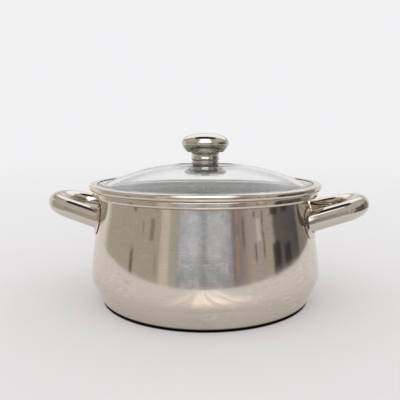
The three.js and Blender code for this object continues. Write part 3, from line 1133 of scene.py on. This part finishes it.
@dataclass
class Knob:
    """Hollow steel knob of two pressed shells, with its collar, backing plate and screw."""

    sheet: float = 0.8 * MM
    neck_radius: float = 13 * MM
    neck_height: float = 4.2 * MM
    flare_height: float = 5 * MM
    flare_radius: float = 14.7 * MM
    edge_radius: float = 18 * MM
    head_lower: float = 7.2 * MM
    head_power: float = 2.4
    lower_bulge: float = 0.55
    neck_draw: float = 0.7 * MM
    neck_swell: float = 0.1 * MM
    flare_bulge: float = 0.6
    waist_rounding: float = 1.6 * MM
    hole_radius: float = 2.75 * MM
    backing_flat: float = 12.2 * MM
    backing_rounding: float = 2 * MM
    screw_radius: float = 2.5 * MM
    screw_rounding: float = 0.35 * MM
    screw_gap: float = 0.15 * MM
    drive_radius: float = 1.9 * MM
    drive_depth: float = 1.2 * MM
    ring_rounding: float = 0.3 * MM
    crown_rows: int = 48
    lower_rows: int = 14

    def build_head(self) -> bpy.types.Object:
        """Turns the head: a superellipse above its widest line, drawn in to the edge below it.

        A superellipse takes the cosine and the sine of an angle to two over its power. The lower part is
        a spline that meets the crown at its first point and takes its direction from a point further up.

        Returns:
            The head shell.
        """
        low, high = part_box("knob_head")
        inner, widest = high.x - self.sheet, low.z + self.head_lower
        angle = np.linspace(0, math.pi / 2, self.crown_rows)
        power = 2 / self.head_power
        radius = inner * np.clip(np.cos(angle), 0, 1) ** power
        radius[-1] = 0
        crown = np.stack([radius, widest + (high.z - self.sheet - widest) * np.sin(angle) ** power], axis=1)
        start = (self.edge_radius - self.sheet, low.z)
        middle = ((self.edge_radius + inner) / 2, widest - self.lower_bulge * self.head_lower)
        ahead = tuple(crown[self.crown_rows // 4])
        stations = np.array([start, middle, tuple(crown[0]), ahead])
        lower = spline(stations, self.lower_rows)[: 2 * self.lower_rows + 1]
        path = np.concatenate([lower[:-1], crown])
        piece = turned("knob_head_fine", sheet_section(path, self.sheet), KNOB_AROUND)
        stand_in(piece, Body.KNOB, "knob_head")
        return piece

    def build_waist(self) -> bpy.types.Object:
        """Turns the waisted lower shell.

        Returns:
            The waist shell.
        """
        low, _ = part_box("knob_waist")
        inner, floor = self.neck_radius - self.sheet, low.z + self.sheet
        flare = low.z + self.neck_height
        top = flare + self.flare_height
        corners = [
            (self.hole_radius, floor),
            (inner + self.neck_draw, floor),
            (inner - self.neck_swell, flare),
            ((inner * 2 + self.flare_radius - self.sheet) / 3, flare + self.flare_bulge * self.flare_height),
            (self.flare_radius - self.sheet, top),
            (self.edge_radius - 2 * self.sheet, top + self.sheet),
        ]
        section = sheet_section(rounded(corners, self.waist_rounding, 8), self.sheet)
        piece = turned("knob_waist_fine", section, KNOB_AROUND)
        stand_in(piece, Body.KNOB, "knob_waist")
        return piece

    def build_backing(self) -> bpy.types.Object:
        """Turns the dished backing plate.

        Returns:
            The plate.
        """
        low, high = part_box("backing_plate")
        corners = [(self.hole_radius, high.z), (self.backing_flat, high.z), (high.x, low.z + self.sheet)]
        section = sheet_section(rounded(corners, self.backing_rounding, 8), self.sheet)
        piece = turned("backing_plate_fine", section, KNOB_AROUND)
        stand_in(piece, Body.KNOB, "backing_plate")
        return piece

    def build_screw(self) -> bpy.types.Object:
        """Turns the pan-head screw, with a round drive recess in its head.

        Returns:
            The screw.
        """
        low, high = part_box("knob_screw")
        head_radius, head_top = high.x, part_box("spring_washer")[0].z - self.screw_gap
        corners = [
            (0, low.z + self.drive_depth),
            (self.drive_radius, low.z + self.drive_depth),
            (self.drive_radius, low.z),
            (0.7 * head_radius, low.z),
            (head_radius, low.z + 0.4 * (head_top - low.z)),
            (head_radius, head_top),
            (self.screw_radius, head_top),
            (self.screw_radius, high.z),
            (0, high.z),
        ]
        piece = turned("knob_screw_fine", rounded(corners, self.screw_rounding, 4), KNOB_AROUND)
        stand_in(piece, Body.KNOB, "knob_screw")
        return piece

    def build(self) -> dict[str, bpy.types.Object]:
        """Builds every piece of the knob that shows.

        Returns:
            Pieces by their part's name.
        """
        names = ("knob_collar", "spring_washer")
        rings = {name: ring_piece(name, Body.KNOB, self.ring_rounding) for name in names}
        return {
            "head": self.build_head(),
            "waist": self.build_waist(),
            "backing": self.build_backing(),
            "screw": self.build_screw(),
            **rings,
        }

    def make(self) -> None:
        """Builds the knob and gives its pieces and the CAD's core their finishes."""
        pieces = self.build()
        # Warm tint: the steel's grey with a painted warm reflection of the beige room in it.
        tint = (0.6, 0.55, 0.485)
        marks = {"ring_lines": 0.4, "scratches": 0.3, "waviness": 0.01 * MM, "wave_scale": 50}
        polish = PolishedSteel("knob_polish", tint, **marks).material()
        for name in ("head", "waist", "knob_collar"):
            dress(pieces[name], Slot.KNOB, polish)
        plain = SatinSteel("hardware_plain", (0.72, 0.7, 0.67), 0.28, 0.8 * MM).material()
        for piece in (pieces["screw"], pieces["spring_washer"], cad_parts["knob_core"]):
            dress(piece, Slot.HARDWARE, plain)
        satin = SatinSteel("backing_satin", (0.86, 0.85, 0.83), 0.4, 0.8 * MM).material()
        dress(pieces["backing"], Slot.HARDWARE, satin)


# ---------------------------------------------------------------- studio


@dataclass(frozen=True)
class RoomObject:
    """Upright patch on the room's wall: its directions in degrees, its heights in metres and its colour."""

    left: float
    right: float
    bottom: float
    top: float
    colour: Colour

    def cover(self, turn: Value, z: Value) -> Value:
        """1 on the patch and 0 beside it, with soft edges."""
        across = turn.band(self.left, self.left + 0.8) * turn.band(self.right, self.right - 0.8)
        return across * z.band(self.bottom, self.bottom + 0.006) * z.band(self.top, self.top - 0.01)


DARK, BLACK = (0.12, 0.115, 0.11), (0.03, 0.03, 0.03)
TAUPE, BRICK = (0.24, 0.23, 0.21), (0.5, 0.3, 0.27)
PINK, PALE = (0.72, 0.38, 0.35), (0.72, 0.69, 0.62)

# Directions run from -180 behind the pot, through 0 at the camera's side, to 180 behind it again.
ROOM_OBJECTS = [
    RoomObject(-51, -46, 0.1, 0.9, TAUPE),
    RoomObject(-59, -57.5, 0.12, 0.4, DARK),
    RoomObject(-71, -66.5, -0.01, 0.06, DARK),
    RoomObject(-44.5, -43, 0.02, 0.07, DARK),
    RoomObject(26, 29, 0.03, 0.15, BRICK),
    RoomObject(32.5, 35, 0.08, 0.2, DARK),
    RoomObject(37, 39.5, 0.18, 0.32, PINK),
    RoomObject(40, 42, 0.01, 0.07, PINK),
    RoomObject(43.5, 46, 0.05, 0.1, DARK),
    RoomObject(46.5, 51, 0.1, 0.3, PALE),
    RoomObject(52, 54.5, 0.05, 0.16, DARK),
    RoomObject(62, 72, -0.01, 0.08, BLACK),
    RoomObject(76, 85, -0.01, 0.06, BLACK),
]

# Colour of the wall by direction: pale behind, beige on the left, the window, beige and dark on the right.
WALL_COLOURS: list[tuple[float, Colour]] = [
    (-180, (0.9, 0.89, 0.9)),
    (-112, (0.85, 0.83, 0.8)),
    (-104, (0.50, 0.485, 0.42)),
    (-56, (0.49, 0.47, 0.41)),
    (-40, (0.48, 0.465, 0.41)),
    (-39, (0.72, 0.69, 0.6)),
    (-32, (0.72, 0.69, 0.6)),
    (-30.5, (0.52, 0.5, 0.44)),
    (-25, (0.5, 0.49, 0.44)),
    (-23.5, (0.42, 0.45, 0.5)),
    (-20, (0.58, 0.65, 0.75)),
    (-8, (0.64, 0.71, 0.82)),
    (-2, (0.42, 0.46, 0.5)),
    (0, (0.40, 0.44, 0.48)),
    (3, (0.60, 0.66, 0.74)),
    (14, (0.58, 0.64, 0.72)),
    (22, (0.44, 0.47, 0.52)),
    (23.5, (0.26, 0.25, 0.26)),
    (32, (0.33, 0.31, 0.30)),
    (40, (0.47, 0.45, 0.42)),
    (64, (0.47, 0.455, 0.41)),
    (66, (0.15, 0.14, 0.14)),
    (96, (0.09, 0.09, 0.10)),
    (99, (0.28, 0.26, 0.24)),
    (116, (0.30, 0.28, 0.26)),
    (126, (0.8, 0.79, 0.78)),
    (180, (0.9, 0.89, 0.9)),
]


@dataclass
class Floor:
    """Pale matt floor that the pot stands on.

    A pair of lengths is where a blend starts and where it ends.
    """

    backdrop: Colour
    backdrop_light: float
    rings: tuple[float, ...] = (0.02, 0.15, 0.3, 0.6, 1.5, 6.0)
    around: int = 96
    shades: tuple[Colour, Colour] = ((0.645, 0.632, 0.625), (0.675, 0.663, 0.658))
    shine: Colour = (0.17, 0.167, 0.164)
    # Painted contact shadow under the pot: where it fades in and its colour.
    contact_shadow_edges: tuple[float, float] = (100.5 * MM, 98.5 * MM)
    contact_shadow_tint: Colour = (0.01, 0.01, 0.01)
    paling: tuple[float, float] = (0.2, 4)

    def build(self) -> None:
        """Wide disc under the pot, as rings of quads round a small polygon."""
        angle = 2 * math.pi * np.arange(self.around) / self.around
        radii = np.array(self.rings)[:, None]
        flat = np.zeros((len(radii), self.around))
        rings = np.stack([radii * np.cos(angle), radii * np.sin(angle), flat], axis=2)
        mesh = bpy.data.meshes.new("floor")
        faces = [*quad_grid(len(radii), self.around, False)[:, ::-1].tolist(), list(range(self.around))]
        mesh.from_pydata(rings.reshape(-1, 3).tolist(), [], faces)
        floor = bpy.data.objects.new("floor", mesh)
        bpy.context.scene.collection.objects.link(floor)
        mesh.materials.append(self.finish())

    def finish(self) -> bpy.types.Material:
        """Matt floor with a painted black contact shadow where the pot stands on it, that pales into the
        background with distance.

        The share of the background rises with the logarithm of the distance from the pot.

        Returns:
            The material.
        """
        made = bpy.data.materials.new("floor_pale")
        g = Graph(made)
        place = g.place()
        distance = g.node("ShaderNodeVectorMath", {"operation": "LENGTH"}, {0: place}, "Value")
        far = distance.math("LOGARITHM", 10).band(*(math.log10(edge) for edge in self.paling))
        # Painted contact shadow: black floor without glow under the pot's base.
        under = distance.band(*self.contact_shadow_edges)
        inputs = {
            "Base Color": g.mix(under, g.mix(g.noise(place, 9, 4, 0.6), *self.shades), self.contact_shadow_tint),
            "Roughness": 0.9,
            "Specular IOR Level": 0.0,
            "Emission Color": g.mix(under, self.shine, (0, 0, 0)),
            "Emission Strength": 1.0,
        }
        near = g.node("ShaderNodeBsdfPrincipled", {}, inputs)
        pale = g.glow(self.backdrop, self.backdrop_light)
        g.surface(g.node("ShaderNodeMixShader", {}, {0: far, 1: near, 2: pale}))
        return made


@dataclass
class MirroredRoom:
    """Glowing screens round, above and in front of the pot, which only the reflections in it see.

    A pair of lengths or degrees is where a blend starts and where it ends, save the window's two sides.
    """

    middle: float
    front: float = 490 * MM
    side: float = 610 * MM
    back: float = 900 * MM
    height: float = 1.3
    around: int = 128
    levels: int = 12
    window_sides: tuple[float, float] = (-24, 23)
    sill_height: tuple[float, float] = (0.09, 0.03)
    sill_tint: Colour = (0.28, 0.3, 0.34)
    pane_pale: Colour = (0.95, 0.98, 1.02)
    pane_shade: Colour = (0.25, 0.29, 0.36)
    streak_tint: Colour = (0.2, 0.19, 0.18)
    sky: Colour = (2.7, 2.75, 2.8)
    sky_sides: tuple[float, float] = (31, 29)
    sky_height: tuple[float, float] = (0.25, 0.33)
    upper_wall: Colour = (0.6, 0.58, 0.53)
    upper_sides: tuple[float, float] = (31, 34)
    upper_height: tuple[float, float] = (0.28, 0.4)
    gloom: Colour = (0.34, 0.33, 0.32)
    gloom_sides: tuple[float, float] = (112, 120)
    gloom_height: tuple[float, float] = (0.3, 0.45)
    back_glow: Colour = (1.35, 1.35, 1.38)
    back_sides: tuple[float, float] = (116, 130)
    back_height: tuple[float, float] = (0.3, 0.6)
    back_width: tuple[float, float] = (0.6, 0.45)
    object_strength: float = 0.85
    ceiling_dull: Colour = (0.3, 0.29, 0.28)
    lamp: Colour = (2.4, 2.4, 2.4)
    lamp_front: tuple[float, float] = (-0.2, -0.3)
    lamp_width: tuple[float, float] = (0.45, 0.4)
    beam: Colour = (0.03, 0.03, 0.035)
    beam_front: tuple[float, float] = (-0.1, 0.0)
    strip_front: tuple[float, float] = (0.6, 0.68)
    glare_near: float = -110 * MM
    glare_far: float = -480 * MM
    glare_reach: float = 200 * MM
    glare_lift: float = 0.5 * MM
    glare_side: float = 45 * MM
    glare_fade: tuple[float, float] = (-0.115, -0.2)
    glare_width: tuple[float, float] = (0.14, 0.03)
    glare_tint: Colour = (1.0, 0.97, 0.93)
    glare_light: float = 1.3

    def build(self) -> None:
        """Screen round the pot, a lid on it and a patch on the floor."""
        angle = 2 * math.pi * np.arange(self.around) / self.around
        depth = np.where(np.cos(angle) > 0, self.front, self.back)
        outline = np.stack([self.side * np.sin(angle), -depth * np.cos(angle)], axis=1)
        plan = np.broadcast_to(outline, (self.levels, self.around, 2))
        height = np.linspace(0, self.height, self.levels)[:, None, None]
        rings = np.concatenate([plan, np.broadcast_to(height, (self.levels, self.around, 1))], axis=2)
        wall = quad_grid(self.levels, self.around, False)
        self.screen("room", rings.reshape(-1, 3), wall, self.wall_finish())
        self.screen("ceiling", rings[-1], np.arange(self.around)[None, :], self.ceiling_finish())
        near, far, reach, lift = self.glare_near, self.glare_far, self.glare_reach, self.glare_lift
        patch = np.array([(-reach, far, lift), (reach, far, lift), (reach, near, lift), (-reach, near, lift)])
        self.screen("glare", patch, np.arange(4)[None, :], self.glare_finish())

    @staticmethod
    def screen(name: str, points: np.ndarray, faces: np.ndarray, made: bpy.types.Material) -> None:
        """Adds a glowing surface that is seen in reflections only."""
        mesh = bpy.data.meshes.new(name)
        mesh.from_pydata(points.tolist(), [], faces.tolist())
        screen = bpy.data.objects.new(name, mesh)
        bpy.context.scene.collection.objects.link(screen)
        screen.visible_camera = screen.visible_diffuse = screen.visible_shadow = False
        screen.visible_transmission = screen.visible_volume_scatter = False
        mesh.materials.append(made)

    def glare_finish(self) -> bpy.types.Material:
        """Striped window light that lies on the floor in front of the pot and fades to its sides.

        Returns:
            The material.
        """
        made = bpy.data.materials.new("glare_glow")
        g = Graph(made)
        place = g.place()
        x, y = (g.axis(place, name) for name in "XY")
        long_stripes = g.node("ShaderNodeCombineXYZ", {}, {"X": x * 60, "Y": y * 2})
        stripes = g.noise(long_stripes, 1.0, 2, 0.6).band(0.35, 0.65) * 0.85 + 0.15
        aside = (x - self.glare_side).math("ABSOLUTE")
        light = y.band(*self.glare_fade) * aside.band(*self.glare_width) * stripes
        clear = g.node("ShaderNodeBsdfTransparent")
        glow = g.glow(self.glare_tint, self.glare_light)
        g.surface(g.node("ShaderNodeMixShader", {}, {0: light, 1: clear, 2: glow}))
        return made

    def ceiling_finish(self) -> bpy.types.Material:
        """Glow of the ceiling: a lamp above and in front, a dark beam behind it, a bright strip at the back.

        Returns:
            The material.
        """
        made = bpy.data.materials.new("ceiling_glow")
        g = Graph(made)
        place = g.place()
        x, y = (g.axis(place, name) for name in "XY")
        in_lamp = y.band(*self.lamp_front) * x.math("ABSOLUTE").band(*self.lamp_width)
        front = g.mix(in_lamp, self.ceiling_dull, self.lamp)
        beam = g.mix(y.band(*self.beam_front), front, self.beam)
        g.surface(g.glow(g.mix(y.band(*self.strip_front), beam, self.back_glow)))
        return made

    def wall_finish(self) -> bpy.types.Material:
        """Glow of the wall: colours by direction, the window, streaks, lights and objects.

        Returns:
            The material.
        """
        made = bpy.data.materials.new("room_glow")
        g = Graph(made)
        place = g.place()
        x, y, z = (g.axis(place, name) for name in "XYZ")
        turn = x.math("ARCTAN2", y * -1) * (180 / math.pi) - math.degrees(self.middle)
        stops = [((degrees + 180) / 360, colour) for degrees, colour in WALL_COLOURS]
        wall = g.node("ShaderNodeValToRGB", {"stops": stops}, {"Fac": turn * (1 / 360) + 0.5}, "Color")
        panes = self.window_light(g, turn, z, wall)
        upright = g.node("ShaderNodeCombineXYZ", {}, {"X": turn * 0.9, "Y": z * 2.5})
        streaks = g.noise(upright, 1.0, 2, 0.5).band(0.35, 0.7)
        streaked = g.mix(streaks * 0.14, panes, self.streak_tint)
        lit = self.upper_light(g, turn.math("ABSOLUTE"), x.math("ABSOLUTE"), z, streaked)
        for item in ROOM_OBJECTS:
            lit = g.mix(item.cover(turn, z) * self.object_strength, lit, item.colour)
        g.surface(g.glow(lit))
        return made

    def window_light(self, g: Graph, turn: Value, z: Value, wall: Value) -> Value:
        """Wall with the window's dull sill and the mottled light of its panes.

        Args:
            g: Graph of the wall's finish.
            turn: Direction in degrees.
            z: Height.
            wall: Colour of the wall by direction.

        Returns:
            The colour with the window in it.
        """
        left, right = self.window_sides
        inside = turn.band(left, left + 1) * turn.band(right, right - 1)
        sill = g.mix(inside * z.band(*self.sill_height) * 0.55, wall, self.sill_tint)
        pane = g.node("ShaderNodeCombineXYZ", {}, {"X": turn * 0.13, "Y": z * 30})
        pale = g.noise(pane, 1.0, 4, 0.65).band(0.45, 0.7) * inside
        shade = g.noise(pane, 1.7, 4, 0.65).band(0.5, 0.7) * inside
        return g.mix(shade * 0.55, g.mix(pale * 0.5, sill, self.pane_pale), self.pane_shade)

    def upper_light(self, g: Graph, aside: Value, off_centre: Value, z: Value, wall: Value) -> Value:
        """Wall with the sky above the window, a pale upper wall, and a bright strip high behind the pot.

        Args:
            g: Graph of the wall's finish.
            aside: Degrees from the camera's side, either way.
            off_centre: Distance from the middle plane of the room.
            z: Height.
            wall: Colour so far.

        Returns:
            The colour with the lights in it.
        """
        sky = g.mix(aside.band(*self.sky_sides) * z.band(*self.sky_height), wall, self.sky)
        upper = g.mix(aside.band(*self.upper_sides) * z.band(*self.upper_height), sky, self.upper_wall)
        gloom = g.mix(z.band(*self.gloom_height) * aside.band(*self.gloom_sides), upper, self.gloom)
        strip = z.band(*self.back_height) * aside.band(*self.back_sides) * off_centre.band(*self.back_width)
        return g.mix(strip, gloom, self.back_glow)


@dataclass
class Studio:
    """Camera, even light from all round, the floor and the room that the polished steel mirrors."""

    camera_distance: float = 464 * MM
    camera_height: float = 156 * MM
    camera_turn: float = math.radians(5.4)
    camera_pitch: float = math.radians(7.7)
    lens: float = 43.2
    sensor: float = 36
    shift: float = -0.01325
    backdrop: Colour = (0.985, 0.985, 1.0)
    backdrop_light: float = 0.9
    lamp_light: float = 0.98

    def build_camera(self) -> None:
        """Puts the camera in front of the pot, a little above its rim."""
        data = bpy.data.cameras.new("camera")
        data.lens, data.sensor_width, data.shift_x = self.lens, self.sensor, self.shift
        camera = bpy.data.objects.new("camera", data)
        turn, distance = self.camera_turn, self.camera_distance
        camera.location = (distance * math.sin(turn), -distance * math.cos(turn), self.camera_height)
        camera.rotation_euler = (math.pi / 2 - self.camera_pitch, 0, turn)
        bpy.context.scene.collection.objects.link(camera)
        bpy.context.scene.camera = camera

    def build_world(self) -> None:
        """Even pale light from all round, a little dimmer where the camera sees it."""
        world = bpy.data.worlds.new("studio")
        bpy.context.scene.world = world
        g = Graph(world)
        seen = g.node("ShaderNodeLightPath", out="Is Camera Ray")
        strength = self.lamp_light + seen * (self.backdrop_light - self.lamp_light)
        shade = g.node("ShaderNodeBackground", {}, {"Color": (*self.backdrop, 1), "Strength": strength})
        g.node("ShaderNodeOutputWorld", {}, {"Surface": shade})

    def build(self) -> None:
        """Builds the whole studio."""
        self.build_camera()
        self.build_world()
        Floor(self.backdrop, self.backdrop_light).build()
        MirroredRoom(self.camera_turn).build()
        bpy.context.scene.view_settings.view_transform = "Standard"


# ---------------------------------------------------------------- assembly


def main() -> None:
    """Builds the studio and every sub-assembly in order."""
    logging.basicConfig(level=logging.INFO, format="%(name)s %(message)s")
    Studio().build()
    Pot().make()
    Lid().make()
    Knob().make()


if __name__ == "__main__":
    main()
